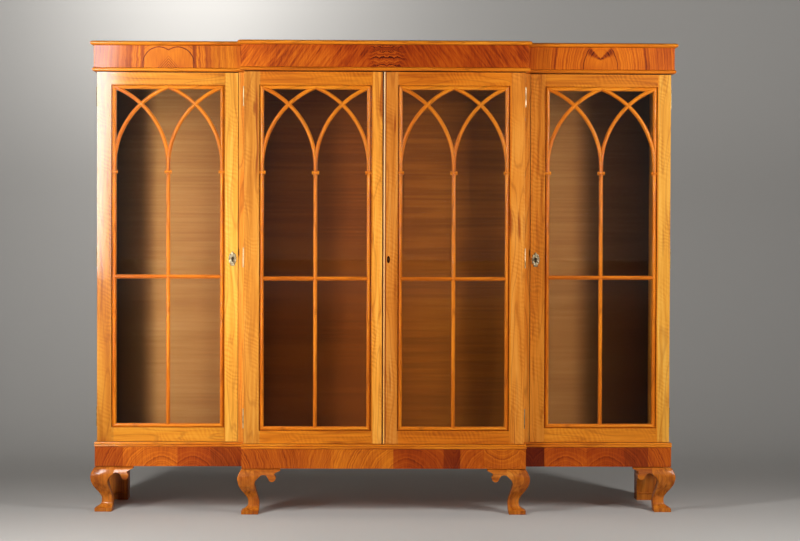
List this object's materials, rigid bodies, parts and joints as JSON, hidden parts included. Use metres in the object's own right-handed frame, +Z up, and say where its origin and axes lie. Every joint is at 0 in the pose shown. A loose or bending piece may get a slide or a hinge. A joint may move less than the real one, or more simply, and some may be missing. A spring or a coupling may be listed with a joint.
{
  "type": "breakfront bookcase",
  "caption": "Walnut breakfront bookcase with a projecting centre, glazed doors with interlaced Gothic tracery, figured frieze and skirt, and cabriole bracket feet",
  "frame": {"origin": "on the floor, under the middle of the bounding box", "axes": "+X to the right of someone facing the doors, +Y to the back, +Z up; the doors face -Y"},
  "size_m": [1.932, 0.4306, 1.549],
  "materials": {
    "case_walnut": "glossy varnished straight-grained walnut",
    "door_walnut": "glossy varnished walnut with a faint ripple",
    "figured_walnut": "glossy varnished figured walnut veneer, grain across",
    "amber_walnut": "glossy amber varnish over moulded walnut",
    "foot_walnut": "glossy dark varnished solid walnut",
    "back_plywood": "satin plywood with fine level grain",
    "hinge_brass": "polished brass",
    "lock_brass": "dull cast brass",
    "escutcheon_brass": "pale stamped brass",
    "glass": "clear polished sheet glass"
  },
  "bodies": {
    "carcass": {"top_board": "case_walnut", "bottom_board": "case_walnut", "frieze_frame": "figured_walnut", "skirt_frame": "figured_walnut", "frieze_bead": "amber_walnut", "left_end_panel": "case_walnut", "right_end_panel": "case_walnut", "left_partition": "case_walnut", "right_partition": "case_walnut", "back_panel": "back_plywood", "left_outer_foot": "foot_walnut", "left_inner_foot": "foot_walnut", "left_rear_foot": "foot_walnut", "right_outer_foot": "foot_walnut", "right_inner_foot": "foot_walnut", "right_rear_foot": "foot_walnut", "left_wing_top_hinge_case_leaf": "hinge_brass", "left_wing_middle_hinge_case_leaf": "hinge_brass", "left_wing_bottom_hinge_case_leaf": "hinge_brass", "centre_left_top_hinge_case_leaf": "hinge_brass", "centre_left_middle_hinge_case_leaf": "hinge_brass", "centre_left_bottom_hinge_case_leaf": "hinge_brass", "centre_right_top_hinge_case_leaf": "hinge_brass", "centre_right_middle_hinge_case_leaf": "hinge_brass", "centre_right_bottom_hinge_case_leaf": "hinge_brass", "right_wing_top_hinge_case_leaf": "hinge_brass", "right_wing_middle_hinge_case_leaf": "hinge_brass", "right_wing_bottom_hinge_case_leaf": "hinge_brass"},
    "left_wing_lock_bolt": {"left_wing_lock_bolt": "lock_brass"},
    "left_wing_door": {"left_wing_top_hinge_door_leaf": "hinge_brass", "left_wing_middle_hinge_door_leaf": "hinge_brass", "left_wing_bottom_hinge_door_leaf": "hinge_brass", "left_wing_door_frame": "door_walnut", "left_wing_door_tracery": "amber_walnut", "left_wing_door_glass": "glass", "left_wing_lock": "lock_brass", "left_wing_escutcheon": "escutcheon_brass"},
    "centre_left_door": {"centre_left_top_hinge_door_leaf": "hinge_brass", "centre_left_middle_hinge_door_leaf": "hinge_brass", "centre_left_bottom_hinge_door_leaf": "hinge_brass", "centre_left_door_frame": "door_walnut", "centre_left_door_tracery": "amber_walnut", "centre_left_door_glass": "glass"},
    "centre_right_lock_bolt": {"centre_right_lock_bolt": "lock_brass"},
    "centre_right_door": {"centre_right_top_hinge_door_leaf": "hinge_brass", "centre_right_middle_hinge_door_leaf": "hinge_brass", "centre_right_bottom_hinge_door_leaf": "hinge_brass", "centre_right_door_frame": "door_walnut", "centre_right_door_tracery": "amber_walnut", "centre_right_door_glass": "glass", "centre_right_lock": "lock_brass"},
    "right_wing_lock_bolt": {"right_wing_lock_bolt": "lock_brass"},
    "right_wing_door": {"right_wing_top_hinge_door_leaf": "hinge_brass", "right_wing_middle_hinge_door_leaf": "hinge_brass", "right_wing_bottom_hinge_door_leaf": "hinge_brass", "right_wing_door_frame": "door_walnut", "right_wing_door_tracery": "amber_walnut", "right_wing_door_glass": "glass", "right_wing_lock": "lock_brass", "right_wing_escutcheon": "escutcheon_brass"}
  },
  "joints": [
    {"name": "left_wing_door_hinge", "type": "hinge", "parent": "carcass", "child": "left_wing_door", "pos_m": [-0.9479, -0.11, 0.8395], "axis": [0, 0, -1], "range_deg": [0, 180]},
    {"name": "centre_left_door_hinge", "type": "hinge", "parent": "carcass", "child": "centre_left_door", "pos_m": [-0.4614, -0.172, 0.8395], "axis": [0, 0, -1], "range_deg": [0, 180]},
    {"name": "centre_right_door_hinge", "type": "hinge", "parent": "carcass", "child": "centre_right_door", "pos_m": [0.4614, -0.172, 0.8395], "axis": [0, 0, 1], "range_deg": [0, 180]},
    {"name": "right_wing_door_hinge", "type": "hinge", "parent": "carcass", "child": "right_wing_door", "pos_m": [0.9479, -0.11, 0.8395], "axis": [0, 0, 1], "range_deg": [0, 180]},
    {"name": "left_wing_lock_bolt_slide", "type": "slide", "parent": "left_wing_door", "child": "left_wing_lock_bolt", "axis": [1, 0, 0], "range_m": [0, 0.008]},
    {"name": "centre_right_lock_bolt_slide", "type": "slide", "parent": "centre_right_door", "child": "centre_right_lock_bolt", "axis": [-1, 0, 0], "range_m": [0, 0.008]},
    {"name": "right_wing_lock_bolt_slide", "type": "slide", "parent": "right_wing_door", "child": "right_wing_lock_bolt", "axis": [-1, 0, 0], "range_m": [0, 0.008]}
  ]
}
